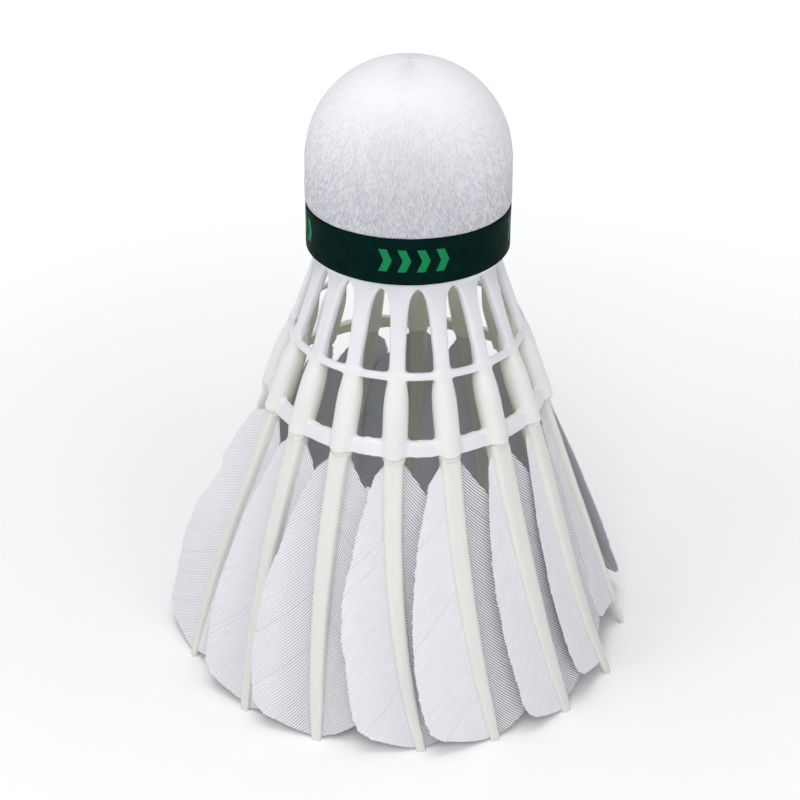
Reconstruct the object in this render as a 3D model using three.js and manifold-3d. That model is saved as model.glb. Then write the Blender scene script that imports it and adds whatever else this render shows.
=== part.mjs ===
// Hybrid badminton shuttlecock: a leather-covered cork head, a moulded nylon cage and sixteen
// feathers whose quills are glued into the cage's sockets.
//
// Millimetres, +Z up. It stands on its sixteen quill tips with the head on top. The origin is the
// middle of the circle of quill tips, on the surface that it stands on. Every stem, socket and quill
// lies on one cone round the Z axis, and feather_01 points towards -Y.

import * as THREE from "three";
import { mergeVertices } from "three/addons/utils/BufferGeometryUtils.js";
import Module from "manifold-3d";

const wasm = await Module();
wasm.setup();

// ---- Driving dimensions --------------------------------------------------------------------------

const featherCount = 16;
const tipRadius = 31.8; // axis to the middle of a quill tip, where z is 0
const coneSlope = Math.tan(THREE.MathUtils.degToRad(19.2)); // growth of the radius per mm of fall

const head = {
  bottom: 60.6, // flat end of the head, where the cage's collar meets it
  bandTop: 67.4,
  domeStart: 72.0, // the side is straight up to here
  top: 86.0,
  radius: 13.7,
  underBandRadius: 13.35, // the tape draws the leather in
  skin: 0.6, // thickness of the leather cover
  tape: 0.22, // thickness of the wrapped tape
  discTop: 66.2, // the firm base disc ends and the softer dome begins
  gap: 0.05, // glue line between coaxial pieces
};

const spigot = { radius: 7.4, bore: 6.0, top: 65.4, roof: 1.2, vent: 1.3 };
const collar = { outer: 12.6, thickness: 1.0 };

// The stems are shallower than the sockets, and their outer faces lie flush with the cone's outside.
const stem = { halfWidth: 0.98, halfDepth: 0.7, standOut: 0.3, flareHalfWidth: 2.2, flareHeight: 3.2 };
const socket = { mouth: 38.1, shoulderLow: 46.4, shoulderHigh: 50.0, halfWidth: 1.7, bore: 1.3 };
const upperHoop = { z: 48.4, height: 0.9, thickness: 0.9, outer: 16.15 };
const lowerHoop = { z: 39.1, height: 2.0, thickness: 1.1, outer: 18.95 };

const quill = { rootTop: 46.6, rootHalf: 1.1, tipHalf: 0.55 };
const vane = { thickness: 0.35, top: 37.4, leftWidth: 8.8, rightWidth: 7.2 };

// How far each feather's tip leans round the axis from its socket, in degrees. The feathers were
// glued by hand, so no two lean quite alike.
const tipLean = [9, 5, 4.5, 2, 2, 7.5, 5, 6, 4, 5.5, 3.5, 6.5, 4.5, 1.5, 6.5, 5.5];

// How far the middle of each quill bows to the right, seen from outside.
const quillBow = [0, 0, 0, -1.3, 0, 0, 0.4, -0.4, 0.3, 0, -0.5, 0.4, 0, -1.2, 0, 0];

// The feather whose left vane has slipped inside its neighbour, counted from feather_01 as 0.
const slippedInside = 4;

const headSegments = 32;
const hoopSegments = 32;

// ---- Materials -----------------------------------------------------------------------------------

const plain = (color, roughness) => new THREE.MeshStandardMaterial({ color, roughness, metalness: 0 });
const cork = plain(0xb98e5e, 0.9);
const firmCork = plain(0x9c744a, 0.85);
const whiteLeather = plain(0xf1f1f5, 0.75);
const greenTape = plain(0x0b2620, 0.35);
const nylon = plain(0xeeeef1, 0.4);
const featherWhite = plain(0xe9e9ee, 0.7);

// ---- Shape helpers -------------------------------------------------------------------------------

const lerp = THREE.MathUtils.lerp;
const smoothstep = THREE.MathUtils.smoothstep;

// Radius of the cone that the stems and quills follow, at a height.
const coneRadius = (z) => tipRadius - z * coneSlope;

// Drops what keeps shared vertices apart, so that the mesh is closed.
function closed(geometry) {
  geometry.deleteAttribute("normal");
  geometry.deleteAttribute("uv");
  return mergeVertices(geometry, 1e-4);
}

// Moves every vertex of a geometry through a function from Vector3 to Vector3.
function warp(geometry, move) {
  const position = geometry.getAttribute("position");
  const point = new THREE.Vector3();
  for (let i = 0; i < position.count; i++) {
    const moved = move(point.fromBufferAttribute(position, i));
    position.setXYZ(i, moved.x, moved.y, moved.z);
  }
  return closed(geometry);
}

// A solid of revolution about Z from [radius, height] points that run counter-clockwise.
function turned(outline, segments) {
  const points = outline.map(([radius, height]) => new THREE.Vector2(radius, height));
  points.push(points[0].clone());
  const geometry = new THREE.LatheGeometry(points, segments);
  geometry.rotateX(Math.PI / 2); // the lathe turns about Y
  return closed(geometry);
}

function toSolid(geometry) {
  const { position } = geometry.attributes;
  return new wasm.Manifold(
    new wasm.Mesh({
      numProp: 3,
      vertProperties: new Float32Array(position.array),
      triVerts: new Uint32Array(geometry.index.array),
    }),
  );
}

function toGeometry(solid) {
  const mesh = solid.getMesh();
  return new THREE.BufferGeometry()
    .setAttribute("position", new THREE.BufferAttribute(new Float32Array(mesh.vertProperties), 3))
    .setIndex(new THREE.BufferAttribute(new Uint32Array(mesh.triVerts), 1));
}

// ---- Head ----------------------------------------------------------------------------------------

// The cover's outside from the tape upwards: a straight side, then a dome slightly fuller than a
// half sphere. inset moves it inwards.
function domeProfile(inset, fromHeight) {
  const radius = head.radius - inset;
  const rise = head.top - inset - head.domeStart;
  const fullness = 2.12; // exponent of the dome's superellipse; 2 is an ellipse
  const steps = 7;
  const points = [[radius, fromHeight]];
  for (let i = 0; i <= steps; i++) {
    const angle = (i / steps) * (Math.PI / 2);
    points.push([
      radius * Math.cos(angle) ** (2 / fullness),
      head.domeStart + rise * Math.sin(angle) ** (2 / fullness),
    ]);
  }
  points[points.length - 1][0] = 0;
  return points;
}

function leatherCover() {
  const outside = [
    [head.underBandRadius, head.bottom],
    [head.underBandRadius, head.bandTop - 0.2],
    ...domeProfile(0, head.bandTop + 0.5),
  ];
  const inside = [
    [head.underBandRadius - head.skin, head.bottom],
    [head.underBandRadius - head.skin, head.bandTop],
    ...domeProfile(head.skin, head.bandTop + 0.7),
  ].reverse();
  return turned([...outside, ...inside], headSegments);
}

function corkDome() {
  const inset = head.skin + head.gap;
  return turned(
    [
      [0, head.discTop],
      [head.underBandRadius - inset, head.discTop],
      [head.underBandRadius - inset, head.bandTop],
      ...domeProfile(inset, head.bandTop + 0.8),
    ],
    headSegments,
  );
}

// Firm disc behind the dome, with the recess that takes the cage's spigot.
function baseDisc() {
  const outer = head.underBandRadius - head.skin - head.gap;
  const recess = spigot.radius + 0.2;
  return turned(
    [
      [recess, head.bottom],
      [outer, head.bottom],
      [outer, head.discTop - head.gap],
      [0, head.discTop - head.gap],
      [0, spigot.top + 0.2],
      [recess, spigot.top + 0.2],
    ],
    headSegments,
  );
}

function bandTape() {
  const inner = head.underBandRadius + head.gap;
  return turned(
    [
      [inner, head.bottom],
      [inner + head.tape, head.bottom],
      [inner + head.tape, head.bandTop - 0.4],
      [inner, head.bandTop - 0.4],
    ],
    headSegments,
  );
}

// ---- Cage ----------------------------------------------------------------------------------------

// The collar under the head and the hollow spigot that is glued into the base disc.
function cageHub() {
  const top = head.bottom - 0.1;
  return turned(
    [
      [spigot.bore, top - collar.thickness],
      [collar.outer, top - collar.thickness],
      [collar.outer, top],
      [spigot.radius, top],
      [spigot.radius, spigot.top],
      [spigot.vent, spigot.top],
      [spigot.vent, spigot.top - spigot.roof],
      [spigot.bore, spigot.top - spigot.roof],
    ],
    headSegments,
  );
}

// A stem's half widths at a height: it flares into the collar, stays slim, then swells into a socket.
function stemSection(z) {
  const collarFace = head.bottom - 0.1 - collar.thickness;
  const flare = Math.max(0, 1 - (collarFace - z) / stem.flareHeight) ** 2;
  const swell = 1 - smoothstep(z, socket.shoulderLow, socket.shoulderHigh);
  const slimWidth = lerp(stem.halfWidth, stem.flareHalfWidth, flare);
  return {
    halfWidth: lerp(slimWidth, socket.halfWidth, swell),
    halfDepth: lerp(stem.halfDepth, socket.halfWidth, swell),
    standOut: lerp(stem.standOut, 0, swell),
    squareness: lerp(4, 2, swell), // exponent of the section's superellipse
  };
}

// A point on the rim of a superellipse with half sizes 1, at an angle.
function superellipse(angle, exponent) {
  const c = Math.cos(angle);
  const s = Math.sin(angle);
  const scale = (Math.abs(c) ** exponent + Math.abs(s) ** exponent) ** (-1 / exponent);
  return [c * scale, s * scale];
}

// A rod along the cone, towards -Y, with level ends. section(z) gives its half sizes and how far it
// stands out from the cone.
function rodOnCone(zLow, zHigh, sides, steps, section) {
  const rod = new THREE.CylinderGeometry(1, 1, 1, sides, steps);
  return warp(rod, (p) => {
    const z = lerp(zLow, zHigh, p.y + 0.5);
    const { halfWidth, halfDepth, standOut, squareness } = section(z);
    const onRim = Math.hypot(p.x, p.z) > 0.5 ? 1 : 0;
    const [across, along] = superellipse(Math.atan2(p.z, p.x), squareness);
    return new THREE.Vector3(
      across * halfWidth * onRim,
      -(coneRadius(z) + standOut + along * halfDepth * onRim),
      z,
    );
  });
}

// A hoop round the cage, its section leaning with the cone.
function hoop({ z, height, thickness, outer }) {
  const lean = (height / 2) * coneSlope;
  return turned(
    [
      [outer - thickness + lean, z - height / 2],
      [outer + lean, z - height / 2],
      [outer - lean, z + height / 2],
      [outer - thickness - lean, z + height / 2],
    ],
    hoopSegments,
  );
}

function nylonCage() {
  const stemTop = head.bottom - 0.4;
  const oneStem = toSolid(rodOnCone(socket.mouth, stemTop, 8, 6, stemSection));
  const boreSize = { halfWidth: socket.bore, halfDepth: socket.bore, standOut: 0, squareness: 2 };
  const boreSection = () => boreSize;
  const bore = toSolid(rodOnCone(socket.mouth - 3, quill.rootTop + 0.4, 8, 1, boreSection));
  let cage = toSolid(cageHub()).add(toSolid(hoop(upperHoop))).add(toSolid(hoop(lowerHoop)));
  for (let i = 0; i < featherCount; i++) {
    cage = cage.add(oneStem.rotate([0, 0, (i * 360) / featherCount]));
  }
  for (let i = 0; i < featherCount; i++) {
    cage = cage.subtract(bore.rotate([0, 0, (i * 360) / featherCount]));
  }
  return toGeometry(cage);
}

// ---- Feathers ------------------------------------------------------------------------------------

// Share of the way from the socket's mouth to the tip; 0 inside the socket.
const fall = (z) => Math.max(0, 1 - z / socket.mouth);

// How a vane's width grows from the socket, and how its trimmed end closes in a quarter ellipse.
const growth = (t, fullAt) => Math.sin((Math.PI / 2) * Math.min(1, t / fullAt)) ** 0.65;
const rounded = (share) => Math.sqrt(1 - (1 - THREE.MathUtils.clamp(share, 0, 1)) ** 2);
const leftWidth = (z) => vane.leftWidth * growth(fall(z), 0.78) * rounded((z - 0.9) / 6);
const rightWidth = (z) => vane.rightWidth * growth(fall(z), 0.7) * rounded((z - 0.4) / 5);

// How far a vane stands out from the quill's middle plane: the left one laps outside its neighbour
// unless it has slipped inside, and the right one tucks inside the next.
const leftRise = (x) => 0.22 * x - 0.009 * x * x;
const slippedDrop = (x) => -0.3 * x;
const rightDrop = (x) => -0.1 * x - 0.006 * x * x;

// A bow of height 1 along the fall from socket to tip, which starts in line with the socket.
const bowShape = (t) => 6.75 * t ** 2 * (1 - t);

// Places a point beside the quill of a feather that leans and bows: across to the right seen from
// outside, out from the axis, at a height.
function besideQuill(across, out, z, { lean, bow }) {
  const turn = THREE.MathUtils.degToRad(lean) * fall(z) ** 2;
  const right = across + bow * bowShape(fall(z));
  const radius = coneRadius(z) + out;
  return new THREE.Vector3(
    radius * Math.sin(turn) + right * Math.cos(turn),
    -radius * Math.cos(turn) + right * Math.sin(turn),
    z,
  );
}

function quillRod(curve) {
  const rod = new THREE.CylinderGeometry(1, 1, 1, 6, 4);
  return warp(rod, (p) => {
    const z = lerp(0, quill.rootTop, p.y + 0.5);
    const half = lerp(quill.rootHalf, quill.tipHalf, fall(z));
    return besideQuill(p.x * half, p.z * half, z, curve);
  });
}

function vaneSheet(curve, leftOut) {
  const sheet = new THREE.BoxGeometry(2, 1, 1, 4, 1, 5);
  const lowest = 0.95;
  return warp(sheet, (p) => {
    const share = 0.5 - p.z;
    const z = lerp(vane.top, lowest, 1 - (1 - share) ** 1.4); // closer rows near the trimmed end
    const width = p.x < 0 ? leftWidth(z) : rightWidth(z);
    const x = Math.abs(p.x) * Math.max(width, 0.3);
    const out = p.x < 0 ? leftOut(x) : rightDrop(x);
    return besideQuill(Math.sign(p.x) * x, out - p.y * vane.thickness, z, curve);
  });
}

function feather(curve, leftOut) {
  return toGeometry(toSolid(quillRod(curve)).add(toSolid(vaneSheet(curve, leftOut))));
}

// ---- Assembly ------------------------------------------------------------------------------------

function part(name, geometry, material) {
  const mesh = new THREE.Mesh(geometry, material);
  mesh.name = name;
  return mesh;
}

const shuttlecock = new THREE.Group();
shuttlecock.add(
  part("head_cork_dome", corkDome(), cork),
  part("head_base_disc", baseDisc(), firmCork),
  part("head_leather_cover", leatherCover(), whiteLeather),
  part("head_tape_band", bandTape(), greenTape),
  part("nylon_cage", nylonCage(), nylon),
);
for (let i = 0; i < featherCount; i++) {
  const number = String(i + 1).padStart(2, "0");
  const curve = { lean: tipLean[i], bow: quillBow[i] };
  const leftOut = i === slippedInside ? slippedDrop : leftRise;
  const mesh = part(`feather_${number}`, feather(curve, leftOut), featherWhite);
  mesh.rotation.z = (i * 2 * Math.PI) / featherCount;
  shuttlecock.add(mesh);
}

export default shuttlecock;
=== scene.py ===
"""Looks for the hybrid badminton shuttlecock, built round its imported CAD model.

Shapes are worked out in millimetres, in the CAD model's frame: +Z up towards the head, the origin in
the middle of the circle of quill tips, and the first feather towards -Y. Meshes are made in metres.
"""

import math

import bpy
import numpy as np
from mathutils import Matrix, Vector


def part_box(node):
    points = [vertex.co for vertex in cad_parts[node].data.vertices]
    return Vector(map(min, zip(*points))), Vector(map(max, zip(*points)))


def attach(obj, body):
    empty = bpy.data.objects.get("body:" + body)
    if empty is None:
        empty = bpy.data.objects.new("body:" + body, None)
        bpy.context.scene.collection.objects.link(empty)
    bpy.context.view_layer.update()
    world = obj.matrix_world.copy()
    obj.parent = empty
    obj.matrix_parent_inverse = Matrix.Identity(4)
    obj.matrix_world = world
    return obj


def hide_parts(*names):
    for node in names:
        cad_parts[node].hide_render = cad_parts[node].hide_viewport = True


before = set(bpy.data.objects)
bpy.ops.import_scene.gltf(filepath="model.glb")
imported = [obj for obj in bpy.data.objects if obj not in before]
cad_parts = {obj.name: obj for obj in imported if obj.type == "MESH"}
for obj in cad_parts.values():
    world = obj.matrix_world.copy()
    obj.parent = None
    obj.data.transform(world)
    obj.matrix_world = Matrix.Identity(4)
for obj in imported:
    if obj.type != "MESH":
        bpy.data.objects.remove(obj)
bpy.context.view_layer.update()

MM = 0.001


def box_mm(node):
    """A CAD node's lowest and highest corner in millimetres."""
    low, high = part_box(node)
    return np.array(low) / MM, np.array(high) / MM


COVER_LOW, COVER_HIGH = box_mm("head_leather_cover")
BAND_HIGH = box_mm("head_tape_band")[1]
CAGE_HIGH = box_mm("nylon_cage")[1]

HEAD_RADIUS = COVER_HIGH[0]
HEAD_BOTTOM = COVER_LOW[2]
HEAD_TOP = COVER_HIGH[2]
# Where the head's straight side ends, and how full its dome is: 2 would be an ellipse.
DOME_START = 72.0
DOME_FULLNESS = 2.12
BAND_TOP = BAND_HIGH[2]
BAND_RADIUS = BAND_HIGH[0]
# The tape's upper edge is this much higher in front than on the sides, and this much lower all round.
TAPE_ASKEW = 0.45
TAPE_LOW = 0.3

SOCKET_MOUTH = 38.1
LOWER_HOOP = 39.1
# For each hoop: how high its middle is, its own height, its thickness, its outer radius and its fillet.
HOOPS = [
    (48.4, 0.9, 0.9, 16.15, 0.35),
    (LOWER_HOOP, 2.0, 1.1, 18.95, 0.15),
]
STEM_HEIGHTS = [40, 50, 53, 56, 57.5, 58.5, 59.3]
STEM_HALF_WIDTHS = [1.05, 1.05, 1.07, 1.16, 1.33, 1.65, 2.4]
SOCKET_HEIGHTS = [43.6, 45.2, 46.5, 47.6, 48.6, 50]
SOCKET_RADII = [1.7, 1.63, 1.44, 1.2, 0.98, 0.8]

FEATHERS = 16
TIP_RADIUS = 31.8
CONE_SLOPE = math.tan(math.radians(19.2))
# How far each tip leans round the axis from its socket, in degrees, as in the CAD model.
TIP_LEAN = [9, 5, 4.5, 2, 2, 7.5, 5, 6, 4, 5.5, 3.5, 6.5, 4.5, 1.5, 6.5, 5.5]
# How far the middle of each quill bows to the right, in mm, as in the CAD model.
QUILL_BOW = [0, 0, 0, -1.3, 0, 0, 0.4, -0.4, 0.3, 0, -0.5, 0.4, 0, -1.2, 0, 0]
# Makes a bow's shape, t * t * (1 - t), reach 1 where it is fullest.
BOW_FULLEST = 27 / 4
# Width of each vane and quill against the usual one.
LEFT_SCALE = [0.98, 1.16, 0.92, 0.88, 0.9, 0.86, 0.9, 1.0, 0.92, 1.04, 0.88, 1.0, 0.94, 1.28, 1.0, 1.16]
RIGHT_SCALE = [1, 1, 1, 0.72, 0.9, 0.9, 1, 0.95, 1.05, 1, 0.92, 1, 1.04, 1, 1, 1]
QUILL_SCALE = [1, 1.02, 1.14, 1.06, 0.66, 0.9, 0.96, 1.08, 1, 1.1, 0.95, 1.04, 1, 0.98, 1.02, 1.06]
# How far each vane's barbs stand apart: 0 is closed, and 1 or more is wide open. It also sets how dark the
# gaps between barbs are painted, as shade seen through them, and the left ridges' height.
LEFT_OPEN = [0.42, 0.12, 0.06, 0.04, 0.8, 0.3, 0.5, 0.3, 0.55, 0.2, 0.45, 0.3, 0.3, 0.3, 0.5, 0.9]
RIGHT_OPEN = [1.1, 1.25, 1.15, 1.0, 0.6, 0.6, 0.8, 0.6, 0.9, 0.7, 0.85, 0.6, 0.7, 0.7, 0.7, 0.95]
# How steeply each left vane rises from its quill. It laps outside its neighbour, except where it has
# slipped inside.
LEFT_RISE = [0.22, 0.22, 0.22, 0.12, -0.26, 0.24, 0.22, 0.2, 0.24, 0.22, 0.19, 0.23, 0.22, 0.24, 0.22, 0.22]
# Right vanes tuck inside the next.
RIGHT_RISE = -0.1
# How fast the two sides of a vane curl back inwards, away from the quill.
LEFT_CURL = 0.04
RIGHT_CURL = 0.006
# How much higher than usual each vane is trimmed at its outer corner, in mm.
LEFT_TRIM = [0, 0, 0, 2, 4, 0.5, 0, 1, 0, 0, 0.5, 0, 1, 0, 0.5, 0]
RIGHT_TRIM = [0, 0, 1, 4.3, 1, 0, 0.5, 0, 1, 0, 0.5, 0, 0, 0.5, 0, 0]
# The feather whose left vane keeps its width up to the hoop.
BROAD_TOP = 13
# The least width of that vane, at each height.
BROAD_HEIGHTS = [22, 26, 31, 36, 38.3]
BROAD_WIDTHS = [0, 9.2, 7.4, 4.8, 3.2]
# How far that vane flares out, at this distance from its quill and at each height.
FLARE_AT = 9
FLARE_HEIGHTS = [2, 5, 9, 12, 19, 23, 28]
FLARE_OUT = [0.5, 0.3, 0.8, 1.2, 1.6, 0.9, 0]
SLOT_ANGLE = 2 * math.pi / FEATHERS


def cone_radius(z):
    return TIP_RADIUS - z * CONE_SLOPE


# ---- Repeatable noise -----------------------------------------------------------------------------


def lattice(ix, iy, iz, seed):
    """A number from -1 to 1 for each point of a whole-number lattice."""
    h = ix * 374761393 + iy * 668265263 + iz * 1442695041 + seed * 974711
    h = (h ^ (h >> 13)) * 1274126177 & 0x7FFFFFFF
    h = (h ^ (h >> 16)) * 668265263 & 0x7FFFFFFF
    return (h & 0xFFFF) / 32767.5 - 1


def noise(points, seed=0):
    """Smooth noise from -1 to 1 at (n, 3) points, with features about 1 across."""
    base = np.floor(points).astype(np.int64)
    f = points - base
    f = f * f * (3 - 2 * f)
    total = np.zeros(len(points))
    for dx in (0, 1):
        for dy in (0, 1):
            for dz in (0, 1):
                weight = (
                    (f[:, 0] if dx else 1 - f[:, 0])
                    * (f[:, 1] if dy else 1 - f[:, 1])
                    * (f[:, 2] if dz else 1 - f[:, 2])
                )
                total += weight * lattice(base[:, 0] + dx, base[:, 1] + dy, base[:, 2] + dz, seed)
    return total


# ---- Mesh helpers ---------------------------------------------------------------------------------


def mesh_object(name, points, quads, material, sharp_degrees=None):
    """A smooth mesh object from millimetre points and four-cornered faces."""
    mesh = bpy.data.meshes.new(name)
    mesh.vertices.add(len(points))
    mesh.vertices.foreach_set("co", (np.asarray(points) * MM).astype(np.float32).ravel())
    mesh.loops.add(quads.size)
    mesh.loops.foreach_set("vertex_index", quads.astype(np.int32).ravel())
    mesh.polygons.add(len(quads))
    mesh.polygons.foreach_set("loop_start", np.arange(0, quads.size, 4, dtype=np.int32))
    mesh.update(calc_edges=True)
    mesh.shade_smooth()
    if sharp_degrees:
        mesh.set_sharp_from_angle(angle=math.radians(sharp_degrees))
    mesh.materials.append(material)
    piece = bpy.data.objects.new(name, mesh)
    bpy.context.scene.collection.objects.link(piece)
    return piece


def point_values(piece, name, values):
    """Stores a number at each point, for the material to read."""
    layer = piece.data.attributes.new(name, "FLOAT", "POINT")
    layer.data.foreach_set("value", values.astype(np.float32))


def add_piece(piece, slot, *nodes):
    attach(piece, "root")
    if nodes:
        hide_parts(*nodes)
    return piece


def grid_quads(rows, columns, wrap_rows=False, wrap_columns=False):
    """Faces of a grid of points numbered row by row."""
    row = np.arange(rows if wrap_rows else rows - 1)
    column = np.arange(columns if wrap_columns else columns - 1)
    r, c = np.meshgrid(row, column, indexing="ij")
    r2 = (r + 1) % rows
    c2 = (c + 1) % columns
    quads = np.stack([r * columns + c, r * columns + c2, r2 * columns + c2, r2 * columns + c], -1)
    return quads.reshape(-1, 4)


def turned_points(radii, heights, segments):
    """Rings of points, one ring for each profile point."""
    angle = np.arange(segments) * (2 * math.pi / segments)
    x = np.outer(radii, np.sin(angle))
    y = -np.outer(radii, np.cos(angle))
    z = np.repeat(np.asarray(heights)[:, None], segments, 1)
    return np.stack([x, y, z], -1).reshape(-1, 3)


# ---- Material helpers -----------------------------------------------------------------------------


class Nodes:
    """Short calls for building one node material."""

    def __init__(self, name, **values):
        self.material = bpy.data.materials.new(name)
        self.material.use_nodes = True
        self.tree = self.material.node_tree
        self.shader = self.tree.nodes["Principled BSDF"]
        self.set(self.shader, **values)

    def set(self, node, **values):
        for key, value in values.items():
            socket = node.inputs[key.replace("_", " ")]
            socket.default_value = (*value, 1) if socket.type == "RGBA" else value

    def add(self, kind, **properties):
        node = self.tree.nodes.new(kind)
        for key, value in properties.items():
            setattr(node, key, value)
        return node

    def link(self, source, target):
        self.tree.links.new(source, target)

    def value(self, target, source):
        """Sets a socket from another socket or from a number."""
        if hasattr(source, "is_output"):
            self.link(source, target)
        else:
            target.default_value = source

    def math(self, operation, a, b=0.0, c=0.0, clamp=False):
        node = self.add("ShaderNodeMath", operation=operation, use_clamp=clamp)
        for target, source in zip(node.inputs, (a, b, c)):
            self.value(target, source)
        return node.outputs[0]

    def coordinates(self, scale=(1, 1, 1)):
        mapping = self.add("ShaderNodeMapping")
        mapping.inputs["Scale"].default_value = scale
        self.link(self.add("ShaderNodeTexCoord").outputs["Object"], mapping.inputs["Vector"])
        return mapping.outputs[0]

    def noise(self, vector, scale, detail=2.0, roughness=0.5):
        node = self.add("ShaderNodeTexNoise")
        self.link(vector, node.inputs["Vector"])
        self.set(node, Scale=scale, Detail=detail, Roughness=roughness)
        return node.outputs["Fac"]

    def span(self, source, low, high, to_low=0.0, to_high=1.0):
        node = self.add("ShaderNodeMapRange", clamp=True)
        self.link(source, node.inputs["Value"])
        for target, number in zip(node.inputs[1:5], (low, high, to_low, to_high)):
            target.default_value = number
        return node.outputs[0]

    def mix(self, factor, a, b):
        node = self.add("ShaderNodeMix", data_type="RGBA")
        self.value(node.inputs[0], factor)
        for target, source in zip((node.inputs[6], node.inputs[7]), (a, b)):
            if hasattr(source, "is_output"):
                self.link(source, target)
            else:
                target.default_value = (*source, 1)
        return node.outputs[2]

    def bump(self, height, strength, distance_mm):
        node = self.add("ShaderNodeBump")
        self.link(height, node.inputs["Height"])
        node.inputs["Strength"].default_value = strength
        node.inputs["Distance"].default_value = distance_mm * MM
        self.link(node.outputs[0], self.shader.inputs["Normal"])

    def colour(self, source):
        self.link(source, self.shader.inputs["Base Color"])

    def roughness(self, source):
        self.link(source, self.shader.inputs["Roughness"])


def leather_material():
    """Fine creases that run mostly up and down, deepest low on the side and faint on the crown. Painted
    shade darkens the creases and the whole lower side.
    """
    n = Nodes("white_leather", Sheen_Weight=0.12, Sheen_Roughness=0.5, Specular_IOR_Level=0.3)
    flow = n.add("ShaderNodeAttribute", attribute_name="flow").outputs["Vector"]
    stretch = n.add("ShaderNodeVectorMath", operation="MULTIPLY")
    n.link(flow, stretch.inputs[0])
    stretch.inputs[1].default_value = (1.0, 1.0, 0.3)
    grain = n.noise(stretch.outputs[0], 4.6, 3, 0.5)
    crease = n.span(grain, 0.48, 0.62)
    split = n.add("ShaderNodeSeparateXYZ")
    n.link(n.coordinates(), split.inputs[0])
    # 1 low on the side and 0.06 near the crown: how deep the creases are, and how much painted shade the
    # side gets.
    depth = n.span(split.outputs[2], (BAND_TOP + 1) * MM, (HEAD_TOP - 2) * MM, 1.0, 0.06)
    crease = n.math("MULTIPLY", crease, depth)
    fine = n.noise(n.coordinates(), 6500, 2)
    plain = n.mix(n.span(fine, 0.3, 0.7), (0.86, 0.86, 0.905), (0.92, 0.92, 0.95))
    # Painted shade: the lower side is darker, fading out towards the crown.
    shaded = n.mix(n.math("MULTIPLY", depth, 0.6), plain, (0.78, 0.78, 0.85))
    # Painted shade: the creases are darkened in colour.
    n.colour(n.mix(n.math("MULTIPLY", crease, 0.46), shaded, (0.37, 0.37, 0.425)))
    n.roughness(n.span(crease, 0, 1, 0.55, 0.75))
    pitted = n.math("MULTIPLY", n.math("ADD", grain, n.math("MULTIPLY", fine, 0.2)), depth)
    n.bump(n.math("SUBTRACT", 1.0, pitted), 1.0, 0.7)
    return n.material


def band_material():
    n = Nodes("dark_green_tape", Specular_IOR_Level=0.01)
    uv = n.add("ShaderNodeUVMap", uv_map="wrap")
    split = n.add("ShaderNodeSeparateXYZ")
    n.link(uv.outputs[0], split.inputs[0])
    along, up = split.outputs[0], split.outputs[1]
    # Four groups of four chevrons: u runs round the band and v up it, both in millimetres.
    half_quarter = math.pi * BAND_RADIUS / 4
    pitch, stroke = 2.5, 0.44
    slant, first_at, half_height = 0.45, 3.0, 1.55
    slanted = n.math("MULTIPLY_ADD", n.math("ABSOLUTE", up), slant, n.math("SUBTRACT", along, first_at))
    within_group = n.math("WRAP", slanted, half_quarter, -half_quarter)
    in_group = n.math("LESS_THAN", n.math("ABSOLUTE", within_group), 2 * pitch)
    stripe = n.math("LESS_THAN", n.math("FRACT", n.math("DIVIDE", within_group, pitch)), stroke)
    tall = n.math("LESS_THAN", n.math("ABSOLUTE", up), half_height)
    ink = n.math("MULTIPLY", n.math("MULTIPLY", in_group, stripe), tall)
    where = n.coordinates()
    patchy = n.noise(where, 500, 3)
    base = n.mix(n.span(patchy, 0.35, 0.7), (0.0012, 0.0112, 0.0095), (0.0024, 0.0165, 0.014))
    n.colour(n.mix(n.math("MULTIPLY", ink, 0.92), base, (0.012, 0.235, 0.085)))
    n.roughness(n.span(n.noise(where, 1600, 3), 0.3, 0.7, 0.38, 0.5))
    n.bump(n.noise(where, 900, 3), 0.25, 0.05)
    return n.material


def cork_material(name, light, dark):
    n = Nodes(name, Specular_IOR_Level=0.3)
    where = n.coordinates()
    cell = n.add("ShaderNodeTexVoronoi", feature="F1")
    n.link(where, cell.inputs["Vector"])
    n.set(cell, Scale=900.0)
    pits = n.span(n.noise(where, 650, 4, 0.65), 0.56, 0.66)
    body = n.mix(n.span(cell.outputs["Distance"], 0.1, 0.8), light, tuple(0.82 * c for c in light))
    n.colour(n.mix(pits, body, dark))
    n.roughness(n.span(pits, 0, 1, 0.8, 0.95))
    n.bump(n.math("SUBTRACT", cell.outputs["Distance"], pits), 0.5, 0.15)
    return n.material


def nylon_material():
    n = Nodes(
        "moulded_nylon",
        Subsurface_Weight=0.35,
        Subsurface_Radius=(0.9, 0.85, 0.8),
        Subsurface_Scale=0.9 * MM,
        Coat_Weight=0.12,
        Coat_Roughness=0.25,
        IOR=1.5,
    )
    where = n.coordinates()
    flow = n.noise(n.coordinates((1, 1, 0.25)), 330, 3, 0.55)
    white = n.mix(n.span(flow, 0.35, 0.7), (0.75, 0.76, 0.795), (0.81, 0.82, 0.855))
    socket = n.add("ShaderNodeAttribute", attribute_name="socket")
    cream = n.mix(n.span(flow, 0.35, 0.7), (0.81, 0.81, 0.785), (0.85, 0.85, 0.825))
    outside = n.mix(socket.outputs["Fac"], white, cream)
    inner = n.add("ShaderNodeAttribute", attribute_name="inner")
    # Painted shade: the inner faces take an olive-cream cast.
    n.colour(n.mix(inner.outputs["Fac"], outside, (0.84, 0.83, 0.70)))
    n.roughness(n.span(n.noise(where, 1500, 3), 0.3, 0.7, 0.36, 0.5))
    n.bump(n.noise(where, 800, 4, 0.6), 0.18, 0.08)
    return n.material


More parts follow.
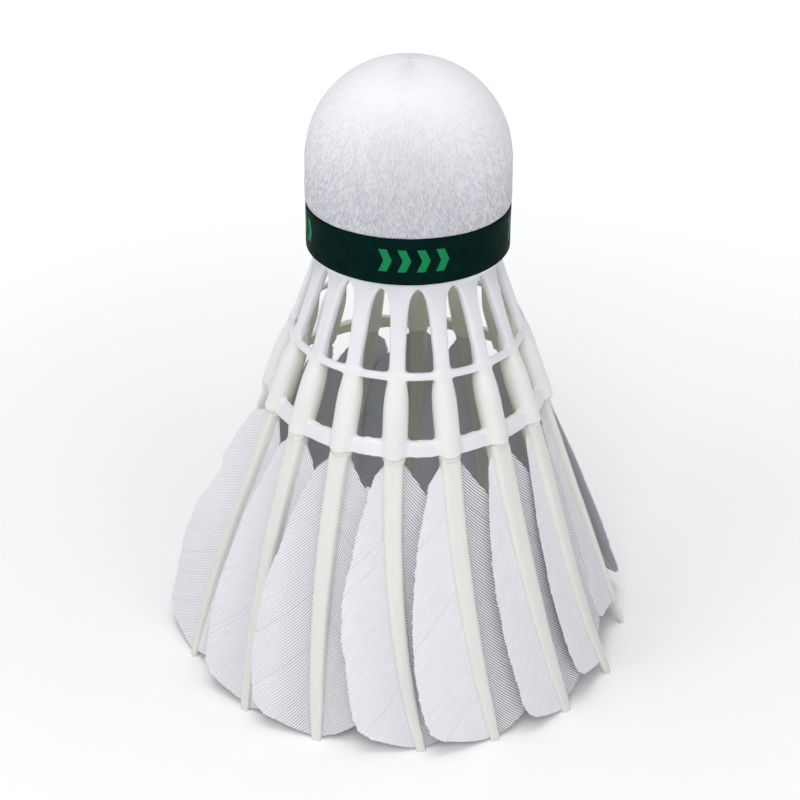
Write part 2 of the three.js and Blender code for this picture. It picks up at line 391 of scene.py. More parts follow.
def quill_material():
    n = Nodes(
        "feather_quill",
        Subsurface_Weight=0.25,
        Subsurface_Radius=(1.0, 0.9, 0.7),
        Subsurface_Scale=0.6 * MM,
        Sheen_Weight=0.05,
    )
    uv = n.add("ShaderNodeUVMap", uv_map="fibre")
    mapping = n.add("ShaderNodeMapping")
    n.link(uv.outputs[0], mapping.inputs["Vector"])
    mapping.inputs["Scale"].default_value = (1.0, 0.06, 1)
    fibres = n.noise(mapping.outputs[0], 5.0, 3, 0.6)
    pale = n.mix(n.span(fibres, 0.25, 0.75), (0.75, 0.75, 0.71), (0.80, 0.80, 0.765))
    inner = n.add("ShaderNodeAttribute", attribute_name="inner")
    # Painted shade: the inner face is darkened to an olive cream.
    n.colour(n.mix(inner.outputs["Fac"], pale, (0.70, 0.71, 0.60)))
    n.roughness(n.span(fibres, 0.3, 0.7, 0.42, 0.58))
    n.bump(fibres, 0.15, 0.05)
    return n.material


def vane_material():
    """Barbs: in the map, u is the distance from the quill in mm and v counts barbs."""
    n = Nodes(
        "feather_vane",
        Sheen_Weight=0.12,
        Sheen_Roughness=0.4,
        Roughness=0.6,
        Subsurface_Weight=0.08,
        Subsurface_Radius=(1.0, 1.0, 0.95),
        Subsurface_Scale=0.4 * MM,
    )
    uv = n.add("ShaderNodeUVMap", uv_map="barbs")
    split = n.add("ShaderNodeSeparateXYZ")
    n.link(uv.outputs[0], split.inputs[0])
    barb = split.outputs[1]
    # 0 in the middle of a barb, 1 in the gap between two.
    gap = n.math("MULTIPLY", n.math("PINGPONG", barb, 0.5), 2.0)
    gap = n.span(gap, 0.38, 0.92)
    mapping = n.add("ShaderNodeMapping")
    n.link(uv.outputs[0], mapping.inputs["Vector"])
    mapping.inputs["Scale"].default_value = (0.35, 0.8, 1)
    streak = n.noise(mapping.outputs[0], 1.0, 3, 0.6)
    gap_shade_attribute = n.add("ShaderNodeAttribute", attribute_name="open")
    # Painted shade: how dark each gap between barbs is painted, standing for the shaded inside seen through
    # it.
    depth = n.math("MULTIPLY", gap, gap_shade_attribute.outputs["Fac"])
    depth = n.math("MULTIPLY", depth, n.span(streak, 0.3, 0.7, 0.75, 1.0), clamp=True)
    white = n.mix(n.span(streak, 0.3, 0.72), (0.79, 0.795, 0.84), (0.865, 0.87, 0.905))
    inner = n.add("ShaderNodeAttribute", attribute_name="inner")
    # Painted shade: the inner faces are darkened to a grey blue.
    white = n.mix(n.math("MULTIPLY", inner.outputs["Fac"], 0.5), white, (0.56, 0.59, 0.64))
    # The painted gap shade goes nearly black.
    n.colour(n.mix(depth, white, (0.14, 0.14, 0.145)))
    n.bump(n.math("SUBTRACT", streak, gap), 0.25, 0.05)
    return n.material


def glue_material():
    n = Nodes(
        "glue",
        Roughness=0.22,
        Subsurface_Weight=0.5,
        Subsurface_Radius=(1.0, 0.85, 0.6),
        Subsurface_Scale=0.8 * MM,
        Coat_Weight=0.4,
        Coat_Roughness=0.12,
    )
    where = n.coordinates()
    cloud = n.noise(where, 700, 3)
    n.colour(n.mix(n.span(cloud, 0.3, 0.7), (0.76, 0.75, 0.67), (0.83, 0.82, 0.76)))
    n.bump(cloud, 0.3, 0.1)
    return n.material


def floor_material():
    n = Nodes(
        "pale_floor",
        Roughness=0.9,
        Specular_IOR_Level=0.1,
        Emission_Color=(1.0, 1.0, 1.0),
    )
    where = n.coordinates()
    n.colour(n.mix(n.noise(where, 6, 2), (0.90, 0.90, 0.90), (0.925, 0.925, 0.925)))
    # The floor stays as pale further from the lights.
    away = n.add("ShaderNodeVectorMath", operation="LENGTH")
    n.link(where, away.inputs[0])
    near, far = 0.03, 0.25
    near_glow, far_glow = 0.05, 0.5
    glow = n.span(away.outputs["Value"], near, far, near_glow, far_glow)
    n.link(glow, n.shader.inputs["Emission Strength"])
    return n.material


# ---- Head -----------------------------------------------------------------------------------------


def dome_profile(inset, from_height, steps):
    """Radii and heights from the band to the top, as in the CAD model."""
    radius = HEAD_RADIUS - inset
    rise = HEAD_TOP - inset - DOME_START
    side = np.linspace(from_height, DOME_START, max(2, steps // 4), endpoint=False)
    angle = np.linspace(0, math.pi / 2, steps)
    radii = radius * np.maximum(np.cos(angle), 1e-9) ** (2 / DOME_FULLNESS)
    heights = DOME_START + rise * np.sin(angle) ** (2 / DOME_FULLNESS)
    return np.concatenate([np.full(len(side), radius), radii]), np.concatenate([side, heights])


def even_profile(radii, heights, spacing):
    """The same profile with its points at an even spacing."""
    length = np.concatenate([[0], np.cumsum(np.hypot(np.diff(radii), np.diff(heights)))])
    at = np.linspace(0, length[-1], max(2, round(length[-1] / spacing)))
    return np.interp(at, length, radii), np.interp(at, length, heights)


def tape_edge(frontness):
    """How far the tape's upper edge is from level: 1 is the front of the head and -1 the back."""
    return TAPE_ASKEW * frontness - TAPE_LOW


def leather_flow(radii, heights, segments):
    """Coordinates in mm for the leather's grain.

    The third runs up the creases, which lean towards the front and the back on their way up.
    """
    length = np.concatenate([[0], np.cumsum(np.hypot(np.diff(radii), np.diff(heights)))])
    length = np.repeat((length - 4)[:, None], segments, 1)
    angle = np.arange(segments) * (2 * math.pi / segments)
    turned = angle + 0.45 * length / HEAD_RADIUS * (np.sin(2 * angle) + 0.2 * np.sin(4 * angle))
    wander = 0.015 * noise(np.stack([np.sin(angle) * 9, np.cos(angle) * 9, 0 * angle], -1), 3)
    turned = turned + wander * np.sin(length * 0.5)
    flow = np.stack([HEAD_RADIUS * np.sin(turned), -HEAD_RADIUS * np.cos(turned), length], -1)
    return flow.reshape(-1, 3)


def head_cover():
    segments = 512
    under = BAND_RADIUS - 0.3
    top_radii, top_heights = dome_profile(0, BAND_TOP + 0.9, 90)
    lip_angle = np.linspace(0, 1, 12)
    lip_radii = under + (HEAD_RADIUS - under) * np.sin(lip_angle * math.pi / 2) ** 0.8
    lip_heights = BAND_TOP - 0.15 + 0.95 * lip_angle ** 1.4
    radii = np.concatenate([lip_radii, top_radii])
    heights = np.concatenate([lip_heights, top_heights])
    radii, heights = even_profile(radii, heights, 0.18)
    radii = np.concatenate([[under], radii])
    heights = np.concatenate([[HEAD_BOTTOM], heights])
    radii[-1] = 0.02
    outside = turned_points(radii, heights, segments)
    # Fine wrinkles that run mostly up and down, fading out towards the crown.
    steep = np.clip((HEAD_TOP - outside[:, 2]) / 14, 0.1, 1)
    above_band = np.clip((outside[:, 2] - BAND_TOP - 0.3) / 0.8, 0, 1)
    flow = leather_flow(radii, heights, segments)
    wrinkle = noise(flow * [2.2, 2.2, 0.7], 5) + 0.5 * noise(flow * [3.0, 3.0, 1.4], 6)
    middle = np.array([0, 0, DOME_START])
    outward = outside - np.where(outside[:, 2:3] > DOME_START, middle, outside * [0, 0, 1])
    outward /= np.maximum(np.linalg.norm(outward, axis=1, keepdims=True), 1e-9)
    slow = noise(outside * 0.22, 8)
    near_band = np.clip((BAND_TOP + 3 - outside[:, 2]) / 3, 0, 1) * (outside[:, 2] > HEAD_BOTTOM + 1)
    outside[:, 2] += tape_edge(-outside[:, 1] / HEAD_RADIUS) * near_band
    outside += outward * ((0.06 * wrinkle * steep + 0.04 * slow - 0.05) * above_band)[:, None]
    inner_radii, inner_heights = dome_profile(0.55, BAND_TOP + 0.9, 24)
    inner_radii = np.concatenate([[under - 0.5, under - 0.5], inner_radii])[::-1]
    inner_heights = np.concatenate([[HEAD_BOTTOM, BAND_TOP], inner_heights])[::-1]
    inner_radii = np.maximum(inner_radii, 0.02)
    inside = turned_points(inner_radii, inner_heights, segments)
    rings = len(radii)
    inner_rings = len(inner_radii)
    shell = grid_quads(rings, segments, wrap_columns=True)
    lining = grid_quads(inner_rings, segments, wrap_columns=True) + rings * segments
    # The rim joins the first outer ring to the last inner one.
    column = np.arange(segments)
    after = (column + 1) % segments
    last = (rings + inner_rings - 1) * segments
    rim = np.stack([last + column, last + after, after, column], -1)
    # A strip of quads closes each pole.
    poles = []
    for ring, flip in ((rings - 1, False), (rings, True)):
        start = ring * segments
        half = segments // 2
        a = np.arange(half - 1)
        strip = np.stack([start + a, start + a + 1, start + segments - 2 - a, start + segments - 1 - a], -1)
        poles.append(strip[:, ::-1] if flip else strip)
    quads = np.concatenate([shell, lining, rim, *poles])
    cover = mesh_object("head_cover", np.concatenate([outside, inside]), quads, leather_material(), 60)
    layer = cover.data.attributes.new("flow", "FLOAT_VECTOR", "POINT")
    layer.data.foreach_set("vector", np.concatenate([flow, inside]).astype(np.float32).ravel())
    return cover


def head_band():
    """Tape wound once round the base of the head, with its end lapping over its start."""
    segments = 480
    lap_at = math.radians(147)
    lap_span = math.radians(9)
    inner = BAND_RADIUS - 0.22
    low, high = HEAD_BOTTOM - 0.08, BAND_TOP
    profile = [
        (0.0, low), (0.14, low), (0.2, low + 0.06), (0.22, low + 0.25), (0.22, (low + high) / 2),
        (0.22, high - 0.25), (0.2, high - 0.06), (0.14, high), (0.0, high),
    ]
    depth = np.array([p[0] for p in profile])
    # The outside is cut finely enough to hold slight wrinkles.
    depth, height = even_profile(depth, np.array([p[1] for p in profile]), 0.28)
    points = turned_points(inner + depth, height, segments)
    angle = np.tile(np.arange(segments) * (2 * math.pi / segments), len(depth))
    outer = np.repeat(depth > 0.1, segments)
    past_lap = (angle - lap_at) % (2 * math.pi)
    step = 0.12 * np.clip(1 - past_lap / lap_span, 0, 1) * (past_lap < lap_span)
    wave = 0.03 * noise(points * [0.35, 0.35, 0.5], 11) + 0.018 * noise(points * [1.3, 1.3, 0.6], 12)
    edge = 0.05 * noise(points * [0.5, 0.5, 0], 13)
    radial = points * [1, 1, 0] / np.linalg.norm(points[:, :2], axis=1, keepdims=True)
    points += radial * ((step + wave) * outer)[:, None]
    # The tape was wound a little askew, so its upper edge is highest in front.
    askew = tape_edge(np.cos(angle))
    points[:, 2] += (edge + askew) * (points[:, 2] > (low + high) / 2)
    quads = grid_quads(len(depth), segments, wrap_rows=True, wrap_columns=True)
    band = mesh_object("head_band", points, quads, band_material(), 60)
    uv = band.data.uv_layers.new(name="wrap")
    corner = quads.ravel()
    turn = np.arctan2(points[corner, 0], -points[corner, 1])
    # Where a face crosses the back, its corners keep to one side.
    turn = turn.reshape(-1, 4)
    turn = np.where((turn.max(1) - turn.min(1) > 3)[:, None] & (turn < 0), turn + 2 * math.pi, turn)
    rise = points[corner, 2] - (low + high) / 2 - 0.25
    uv.data.foreach_set("uv", np.stack([turn.ravel() * BAND_RADIUS, rise], -1).astype(np.float32).ravel())
    return band


# ---- Cage -----------------------------------------------------------------------------------------


def joined(a, b, fillet):
    """Joins two distance fields with a fillet."""
    h = np.clip(0.5 + 0.5 * (b - a) / fillet, 0, 1)
    return b + (a - b) * h - fillet * h * (1 - h)


def cut(a, b, fillet):
    return -joined(-a, b, fillet)


def rounded_box(u, v, half_u, half_v, corner):
    """Distance to a rounded rectangle."""
    a = np.abs(u) - (half_u - corner)
    b = np.abs(v) - (half_v - corner)
    return np.hypot(np.maximum(a, 0), np.maximum(b, 0)) + np.minimum(np.maximum(a, b), 0) - corner


def cage_field(angle, radius, z):
    """Distance to the surface of the cage near one stem, in mm, negative inside."""
    across = radius * np.sin(angle)
    axis = cone_radius(z)
    depth = (radius * np.cos(angle) - axis) * math.cos(math.atan(CONE_SLOPE))
    half_width = np.interp(z, STEM_HEIGHTS, STEM_HALF_WIDTHS)
    stem = rounded_box(across, depth - 0.35, half_width, 0.65, 0.4)
    stem = np.maximum(stem, np.maximum(43 - z, z - 60))
    socket = np.hypot(across, depth) - np.interp(z, SOCKET_HEIGHTS, SOCKET_RADII)
    socket = np.maximum(socket, np.maximum(SOCKET_MOUTH - z, z - 49.8))
    field = joined(stem, socket, 0.5)
    for height, tall, thick, outer, fillet in HOOPS:
        middle = outer - thick / 2 - (z - height) * CONE_SLOPE
        field = joined(field, rounded_box(radius - middle, z - height, thick / 2, tall / 2, 0.2), fillet)
    top = HEAD_BOTTOM - 0.1
    collar = rounded_box(radius - 9.3, z - (top - 0.5), 3.3, 0.5, 0.15)
    wall_top = CAGE_HIGH[2]
    tube = rounded_box(radius - 6.7, z - (top - 1 + wall_top) / 2, 0.7, (wall_top - top + 1) / 2, 0.15)
    roof = rounded_box(radius - 4.35, z - (wall_top - 0.6), 3.05, 0.6, 0.15)
    hub = np.minimum(np.minimum(collar, tube), roof)
    field = joined(field, hub, 0.4)
    bore = np.maximum(np.hypot(across, depth) - 1.25, z - 44.7)
    return cut(field, bore, 0.12)


def surface_net(field):
    """Points, in grid steps, and faces of a field's zero surface. The first axis wraps round."""
    inside = field < 0
    size = np.array(field.shape)
    cells = np.prod(size)
    total = np.zeros((3, cells))
    count = np.zeros(cells)
    faces = []
    for axis in range(3):
        others = [a for a in range(3) if a != axis]
        if axis == 1:
            others.reverse()
        crossing = inside != np.roll(inside, -1, axis)
        if axis:
            crossing[(slice(None),) * axis + (-1,)] = False
        node = np.argwhere(crossing)
        here = field[tuple(node.T)]
        following = node.copy()
        following[:, axis] = (following[:, axis] + 1) % size[axis]
        share = here / (here - field[tuple(following.T)])
        ring = []
        for b, c in ((0, 0), (1, 0), (1, 1), (0, 1)):
            cell = node.copy()
            cell[:, others[0]] -= b
            cell[:, others[1]] -= c
            cell[:, 0] %= size[0]
            flat = np.ravel_multi_index(cell.T, field.shape)
            ring.append(flat)
            for a, value in ((axis, share), (others[0], b), (others[1], c)):
                total[a] += np.bincount(flat, np.broadcast_to(value, len(flat)), cells)
            count += np.bincount(flat, minlength=cells)
        quads = np.stack(ring, -1)
        forward = inside[tuple(node.T)]
        faces.append(np.where(forward[:, None], quads, quads[:, ::-1]))
    used = np.flatnonzero(count)
    number = np.full(cells, -1)
    number[used] = np.arange(len(used))
    corner = np.stack(np.unravel_index(used, field.shape), -1)
    points = corner + (total[:, used] / count[used]).T
    return points, number[np.concatenate(faces)]


def smoothed(points, quads, rounds):
    """Moves each point part of the way to the middle of its neighbours."""
    start, end = np.concatenate([quads[:, [i, (i + 1) % 4]] for i in range(4)]).T
    neighbours = np.bincount(start, minlength=len(points))[:, None]
    for _ in range(rounds):
        total = np.stack([np.bincount(start, points[end, k], len(points)) for k in range(3)], -1)
        points = points + 0.5 * (total / neighbours - points)
    return points


def cage():
    sector_steps, step = 26, 0.25
    angle = (np.arange(sector_steps) / sector_steps - 0.5) * SLOT_ANGLE
    radius = np.arange(0.9, 20.6, step)
    height = np.arange(37.5, CAGE_HIGH[2] + 0.6, step)
    sector = cage_field(angle[:, None, None], radius[None, :, None], height[None, None, :])
    points, quads = surface_net(np.tile(sector, (FEATHERS, 1, 1)))
    turn = angle[0] + points[:, 0] * (SLOT_ANGLE / sector_steps)
    reach = radius[0] + points[:, 1] * step
    points = np.stack([reach * np.sin(turn), -reach * np.cos(turn), height[0] + points[:, 2] * step], -1)
    # In angle, radius and height the axes are left-handed.
    quads = quads[:, ::-1]
    points = smoothed(points, quads, 2)
    # Slight flash and unevenness from the mould, most of all on the lower hoop's edges.
    near_hoop = np.clip(1 - np.abs(points[:, 2] - LOWER_HOOP) / 2, 0, 1)
    uneven = noise(points * 0.55, 21) * 0.05 + noise(points * [1.2, 1.2, 0.6], 22) * 0.05 * near_hoop
    flash = 0.18 * noise(points * [0.9, 0.9, 0.3], 23) + 0.16 * noise(points * [2.4, 2.4, 0.5], 24)
    points[:, 2] += uneven + flash * near_hoop
    piece = mesh_object("cage_frame", points, quads, nylon_material())
    z = points[:, 2]
    turn = np.arctan2(points[:, 0], -points[:, 1])
    off_stem = (turn + SLOT_ANGLE / 2) % SLOT_ANGLE - SLOT_ANGLE / 2
    reach = np.hypot(points[:, 0], points[:, 1])
    from_axis = np.hypot(reach * np.sin(off_stem), reach * np.cos(off_stem) - cone_radius(z))
    socket = np.clip((2.1 - from_axis) / 0.4, 0, 1) * np.clip((50 - z) / 3, 0, 1)
    # Inner faces, which the material paints with an olive-cream shade cast.
    inner = np.clip((cone_radius(z) - reach * np.cos(off_stem)) / 0.4, 0, 1) * np.clip((59 - z) / 2, 0, 1)
    point_values(piece, "socket", socket)
    point_values(piece, "inner", inner)
    return piece


# ---- Feathers -------------------------------------------------------------------------------------


def fall(z):
    return np.maximum(0, 1 - z / SOCKET_MOUTH)


def beside_quill(index, across, out, z):
    """Places points beside a feather's quill: across to the right seen from outside, and outwards."""
    turn = math.radians(TIP_LEAN[index]) * fall(z) ** 2 + index * SLOT_ANGLE
    right = across + QUILL_BOW[index] * BOW_FULLEST * fall(z) ** 2 * (1 - fall(z))
    radius = cone_radius(z) + out
    return np.stack(
        [
            radius * np.sin(turn) + right * np.cos(turn),
            -radius * np.cos(turn) + right * np.sin(turn),
            np.broadcast_to(z, np.shape(turn)) + 0 * across,
        ],
        -1,
    )


QUILL_HEIGHTS = [0, 1.5, 4, 9, 16, 25, 33, 37.5, 38.2, 38.7, 47]
QUILL_HALF_WIDTHS = [0.62, 0.72, 0.84, 0.98, 1.12, 1.24, 1.3, 1.32, 1.2, 1.05, 0.98]
QUILL_HALF_DEPTHS = [0.42, 0.5, 0.6, 0.74, 0.88, 1.0, 1.1, 1.15, 1.1, 1.05, 0.98]


def quill(index, material):
    sides, squareness = 24, 4.2
    top = 44.5
    z = np.concatenate([np.linspace(0, 0.25, 3), np.linspace(0.7, top, 74)])
    half_width = np.interp(z, QUILL_HEIGHTS, QUILL_HALF_WIDTHS)
    half_width = half_width * (1 + (QUILL_SCALE[index] - 1) * (z < 38))
    half_depth = np.interp(z, QUILL_HEIGHTS, QUILL_HALF_DEPTHS)
    half_depth = half_depth * (1 + 0.8 * (QUILL_SCALE[index] - 1) * (z < 38))
    angle = np.arange(sides) * (2 * math.pi / sides)
    cosine, sine = np.cos(angle), np.sin(angle)
    size = (np.abs(cosine) ** squareness + np.abs(sine) ** squareness) ** (-1 / squareness)
    across = np.outer(half_width, cosine * size)
    out = np.outer(half_depth, sine * size)
    # A shallow groove runs down the inner face.
    groove = np.exp(-((cosine * size) / 0.35) ** 2) * (sine < 0)
    out += 0.28 * groove[None, :] * half_depth[:, None] * np.clip((38 - z) / 6, 0, 1)[:, None]
    heights = np.repeat(z[:, None], sides, 1)
    sway = 0.1 * np.sin(z[:, None] * 0.11 + index * 1.7) * fall(z)[:, None]
    flat = np.stack([across.ravel() + sway.repeat(sides, 1).ravel(), out.ravel(), heights.ravel()], -1)
    flat[:, 0] += 0.025 * noise(flat * [0.8, 0.8, 0.25] + index * 7.3, 31)
    flat[:, 1] += 0.025 * noise(flat * [0.8, 0.8, 0.25] + index * 7.3, 32)
    points = beside_quill(index, flat[:, 0], flat[:, 1], flat[:, 2])
    rings = len(z)
    quads = grid_quads(rings, sides, wrap_columns=True)
    half = sides // 2
    a = np.arange(half - 1)
    cap = np.stack([a, a + 1, sides - 2 - a, sides - 1 - a], -1)
    quads = np.concatenate([quads, cap[:, ::-1], cap + (rings - 1) * sides])
    piece = mesh_object(f"feather_{index + 1:02d}_quill", points, quads, material, 50)
    # The inner face, which the material paints darker as shade.
    inner = np.tile(np.clip(-1.6 * sine, 0, 1), rings)
    point_values(piece, "inner", inner)
    uv = piece.data.uv_layers.new(name="fibre")
    corner = quads.ravel()
    round_quill = (corner % sides) / sides * 6
    uv.data.foreach_set(
        "uv", np.stack([round_quill, flat[corner, 2] + index * 50], -1).astype(np.float32).ravel()
    )
    return piece


# A vane's edge: distance from the quill's middle at each height, up from the trimmed end.
LEFT_EDGE = (
    [0.4, 0.75, 1.4, 2.1, 3.4, 5, 9.4, 14.5, 19.7, 24.3, 26.9, 30.9, 34.3, 36.6, 37.9, 38.3],
    [0.5, 2.2, 4.4, 6.5, 7.8, 8.1, 8.1, 7.8, 7.0, 6.0, 5.3, 4.1, 3.0, 2.1, 1.3, 0.9],
)
RIGHT_EDGE = (
    [0.5, 1.0, 1.7, 2.7, 3.8, 6, 15, 24, 28, 30.5, 32.1, 34.1, 36.5, 37.6, 38.2],
    [0.9, 2.7, 4.1, 5.9, 6.9, 7.2, 7.3, 7.2, 6.8, 6.0, 4.9, 3.5, 1.9, 1.2, 0.9],
)
TOP_BARB = 38.0
LOWEST_BARB = 0.9
BARB_PITCH = 0.43
ROWS_PER_BARB = 4
VANE_COLUMNS = 10


def barb_rows(index, side):
    """Flat points (rows, columns, 2) of one side of a vane as distance from the quill and height."""
    edge_heights, edge_widths = LEFT_EDGE if side < 0 else RIGHT_EDGE
    scale = LEFT_SCALE[index] if side < 0 else RIGHT_SCALE[index]
    edge_widths = 0.9 + (np.array(edge_widths) - 0.9) * scale
    trim = LEFT_TRIM[index] if side < 0 else RIGHT_TRIM[index]
    edge_heights = np.array(edge_heights)
    edge_heights = edge_heights + trim * np.clip(1 - edge_heights / 12, 0, 1)
    broad = side < 0 and index == BROAD_TOP
    if broad:
        edge_widths = np.maximum(edge_widths, np.interp(edge_heights, BROAD_HEIGHTS, BROAD_WIDTHS))
    seed = 40 + index * 2 + (side > 0)
    rows = int((TOP_BARB - LOWEST_BARB) / BARB_PITCH * ROWS_PER_BARB)
    barb = np.arange(rows) / ROWS_PER_BARB
    root = TOP_BARB - barb * BARB_PITCH
    step = 0.05
    length = np.arange(0, 18, step)
    # A barb leaves the quill at this angle, in degrees, and leans further out along its length.
    root_lean = 54 if broad else 38
    lean = np.radians(root_lean + 14 * np.clip(length / 7, 0, 1))
    far = 0.35 + np.cumsum(np.sin(lean)) * step
    drop = np.cumsum(np.cos(lean)) * step
    height = root[:, None] - drop[None, :]
    limit = np.interp(height, edge_heights, edge_widths, left=0)
    # Each barb is trimmed a little differently, and the gaps between barbs are shorter.
    whole = np.floor(barb + 0.5)
    jitter = 0.1 * lattice(whole.astype(int), 0, 0, seed)
    slow = 0.22 * noise(np.stack([barb * 0.11, barb * 0, barb * 0], -1), seed)
    valley = 0.12 * (np.abs((barb + 0.5) % 1 - 0.5) > 0.4)
    past = far[None, :] >= limit + (jitter + slow - valley)[:, None]
    last = np.where(past.any(1), past.argmax(1), len(length) - 1)
    share = np.linspace(0, 1, VANE_COLUMNS)
    at = np.maximum(last, 2)[:, None] * share[None, :]
    across = np.interp(at, np.arange(len(length)), far)
    down = np.interp(at, np.arange(len(length)), drop)
    return across, root[:, None] - down, barb


def vane(index, material):
    all_points, all_quads, all_uv, all_gap_shades, all_inner = [], [], [], [], []
    start = 0
    for side in (-1, 1):
        across, z, barb = barb_rows(index, side)
        rows, columns = across.shape
        phase = np.cos(2 * math.pi * barb)[:, None]
        stand_apart = min(1, LEFT_OPEN[index] + 0.25) if side < 0 else 1
        ridge = 0.05 * stand_apart * phase * (1 - 0.5 * across / 8)
        if side > 0:
            out = RIGHT_RISE * across - RIGHT_CURL * across**2
        else:
            rise = LEFT_RISE[index]
            out = rise * across - LEFT_CURL * rise * across**2
            if index == BROAD_TOP:
                out = out + np.interp(z, FLARE_HEIGHTS, FLARE_OUT) * across / FLARE_AT
        where = np.stack([across.ravel() * side * 0.16, z.ravel() * 0.09, np.full(z.size, index * 3.1)], -1)
        out = out + 0.16 * noise(where, 61).reshape(z.shape) * np.clip(across / 3, 0, 1) - 0.15
        # A few barbs have parted, and the lower ones lie a little deeper.
        for k in range(3):
            parting = 12 + 62 * (0.5 + 0.5 * lattice(k, index, side + 2, 71))
            below = np.clip(barb - parting, 0, 6)[:, None]
            out = out - 0.09 * (below > 0) * (1 - below / 6) * np.clip(across / 3, 0, 1)
        half_thickness = 0.07 + ridge
        right = (side * across).ravel()
        front = beside_quill(index, right, (out + half_thickness).ravel(), z.ravel())
        back = beside_quill(index, right, (out - half_thickness).ravel(), z.ravel())
        face = grid_quads(rows, columns)
        if side > 0:
            face = face[:, ::-1]
        size = rows * columns
        rim = np.concatenate([
            np.arange(columns),
            np.arange(2, rows + 1) * columns - 1,
            (rows - 1) * columns + np.arange(columns - 2, -1, -1),
            np.arange(rows - 2, 0, -1) * columns,
        ])
        following = np.roll(rim, -1)
        wall = np.stack([rim, rim + size, following + size, following], -1)
        if side > 0:
            wall = wall[:, ::-1]
        quads = np.concatenate([face, face[:, ::-1] + size, wall])
        all_points += [front, back]
        all_quads.append(quads + start)
        barb_number = np.repeat(barb + 100 * (index * 2 + (side > 0)), columns)
        uv = np.stack([right, barb_number], -1)
        # Gaps between barbs are painted dark, as shade seen through them, where nothing lies behind them.
        # The painted shade is fullest near the quill and closes towards the edge.
        if side < 0:
            gap_shade = LEFT_OPEN[index] * (1 - 0.62 * np.clip((across - 2.0) / 4.5, 0, 1))
        else:
            gap_shade = RIGHT_OPEN[index] * (1 - 0.25 * np.clip(across / 7, 0, 1))
        gap_shade = gap_shade.ravel()
        all_uv += [uv, uv]
        # The back face gets less of the painted gap shade.
        all_gap_shades += [gap_shade, 0.3 * gap_shade]
        # Only the back face gets the painted inner shade.
        all_inner += [0 * gap_shade, 1 + 0 * gap_shade]
        start += 2 * size
    points = np.concatenate(all_points)
    quads = np.concatenate(all_quads)
    piece = mesh_object(f"feather_{index + 1:02d}_vane", points, quads, material, 62)
    layer = piece.data.uv_layers.new(name="barbs")
    layer.data.foreach_set("uv", np.concatenate(all_uv)[quads.ravel()].astype(np.float32).ravel())
    point_values(piece, "open", np.concatenate(all_gap_shades))
    point_values(piece, "inner", np.concatenate(all_inner))
    return piece


def glue_bead(index, material):
    """An uneven ring of glue round a quill, where it enters its socket."""
    around, section = 40, 14
    u = np.arange(around) * (2 * math.pi / around)
    v = np.arange(section) * (2 * math.pi / section)
    circle = np.stack([np.cos(u) * 1.3, np.sin(u) * 1.3, np.full(around, index * 2.7)], -1)
    lump = 1 + 0.5 * noise(circle, 81)
    thick = 0.27 * lump[:, None]
    ring = 1.22 + thick * np.cos(v)[None, :]
    across = ring * np.cos(u)[:, None]
    out = ring * np.sin(u)[:, None]
    z = SOCKET_MOUTH - 0.2 + 1.7 * thick * np.sin(v)[None, :] - 0.3 * (lump[:, None] - 1)
    points = beside_quill(index, across.ravel(), out.ravel(), z.ravel())
    quads = grid_quads(around, section, wrap_rows=True, wrap_columns=True)
    return mesh_object(f"feather_{index + 1:02d}_glue", points, quads, material)


# ---- Assembly -------------------------------------------------------------------------------------

add_piece(head_cover(), "head_leather", "head_leather_cover")
add_piece(head_band(), "band_tape", "head_tape_band")
add_piece(cage(), "cage_nylon", "nylon_cage")

for node, tint in (
    ("head_cork_dome", cork_material("dome_cork_grain", (0.50, 0.31, 0.15), (0.16, 0.08, 0.035))),
    ("head_base_disc", cork_material("disc_cork_grain", (0.36, 0.21, 0.10), (0.11, 0.055, 0.025))),
):
    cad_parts[node].material_slots[0].material = tint

quill_look = quill_material()
vane_look = vane_material()
glue_look = glue_material()
for number in range(FEATHERS):
    cad_node = f"feather_{number + 1:02d}"
    add_piece(quill(number, quill_look), "feather", cad_node)
    add_piece(vane(number, vane_look), "feather")
    add_piece(glue_bead(number, glue_look), "cage_nylon")

# ---- Stage, light and camera ----------------------------------------------------------------------

floor_mesh = bpy.data.meshes.new("floor")
half_floor = 1.2
floor_corners = [(x * half_floor, y * half_floor, 0) for x, y in ((-1, -1), (1, -1), (1, 1), (-1, 1))]
floor_mesh.from_pydata(floor_corners, [], [(0, 1, 2, 3)])
floor_mesh.materials.append(floor_material())
floor = bpy.data.objects.new("floor", floor_mesh)
bpy.context.scene.collection.objects.link(floor)

scene = bpy.context.scene
scene.view_settings.view_transform = "Standard"

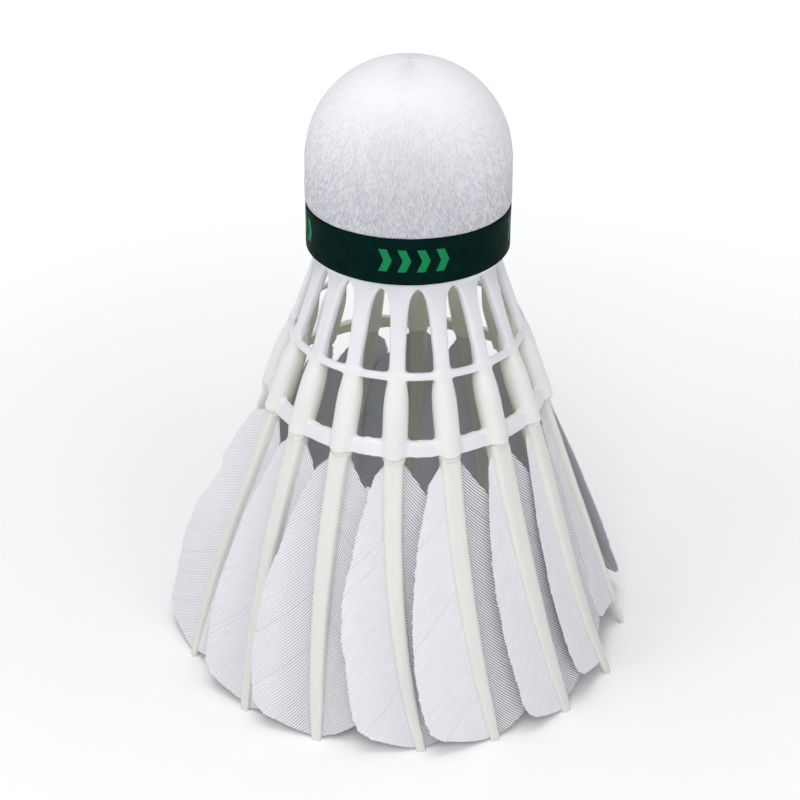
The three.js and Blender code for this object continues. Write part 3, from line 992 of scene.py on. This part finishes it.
# The walls of the studio look white but give only a soft light.
world = bpy.data.worlds.new("studio")
world.use_nodes = True
soft_light = world.node_tree.nodes["Background"]
soft_light.inputs["Color"].default_value = (0.95, 0.97, 1.0, 1)
soft_light.inputs["Strength"].default_value = 0.29
wall = world.node_tree.nodes.new("ShaderNodeBackground")
wall.inputs["Color"].default_value = (0.93, 0.93, 0.93, 1)
seen = world.node_tree.nodes.new("ShaderNodeLightPath")
either = world.node_tree.nodes.new("ShaderNodeMixShader")
world.node_tree.links.new(seen.outputs["Is Camera Ray"], either.inputs[0])
world.node_tree.links.new(soft_light.outputs[0], either.inputs[1])
world.node_tree.links.new(wall.outputs[0], either.inputs[2])
world.node_tree.links.new(either.outputs[0], world.node_tree.nodes["World Output"].inputs[0])
scene.world = world


def area_light(name, position, size, power):
    light = bpy.data.lights.new(name, "AREA")
    light.shape = "DISK"
    light.size = size
    light.energy = power
    lamp = bpy.data.objects.new(name, light)
    lamp.location = position
    aim = Vector((0, 0, 0.04)) - Vector(position)
    lamp.rotation_mode = "QUATERNION"
    lamp.rotation_quaternion = aim.to_track_quat("-Z", "Y")
    scene.collection.objects.link(lamp)


area_light("key", (-0.02, -0.47, 0.56), 0.36, 1.5)
area_light("fill", (0.36, -0.40, 0.34), 0.4, 0.42)
area_light("left", (-0.42, -0.34, 0.34), 0.4, 0.42)
area_light("top", (-0.06, -0.02, 0.75), 0.5, 1.95)

# The camera, from where it stands to how it is turned, is given about the axis of the shuttlecock.
turned_to = math.radians(4.8)
camera_place = Vector((-0.03, -268.12, 187.20)) * MM
pitch, yaw, roll = 0.51318, -0.00331, 0.00681
forward = Vector((math.sin(yaw) * math.cos(pitch), math.cos(yaw) * math.cos(pitch), -math.sin(pitch)))
level_right = Vector((math.cos(yaw), -math.sin(yaw), 0))
level_up = level_right.cross(forward)
right = level_right * math.cos(roll) + level_up * math.sin(roll)
upward = level_up * math.cos(roll) - level_right * math.sin(roll)
spin = Matrix.Rotation(turned_to, 4, "Z")
camera = bpy.data.objects.new("camera", bpy.data.cameras.new("camera"))
camera.data.sensor_width = 36
camera.data.lens = 99.69
camera.data.clip_start = 0.01
axes = Matrix((right, upward, -forward)).transposed().to_4x4()
camera.matrix_world = spin @ Matrix.Translation(camera_place) @ axes
scene.collection.objects.link(camera)
scene.camera = camera
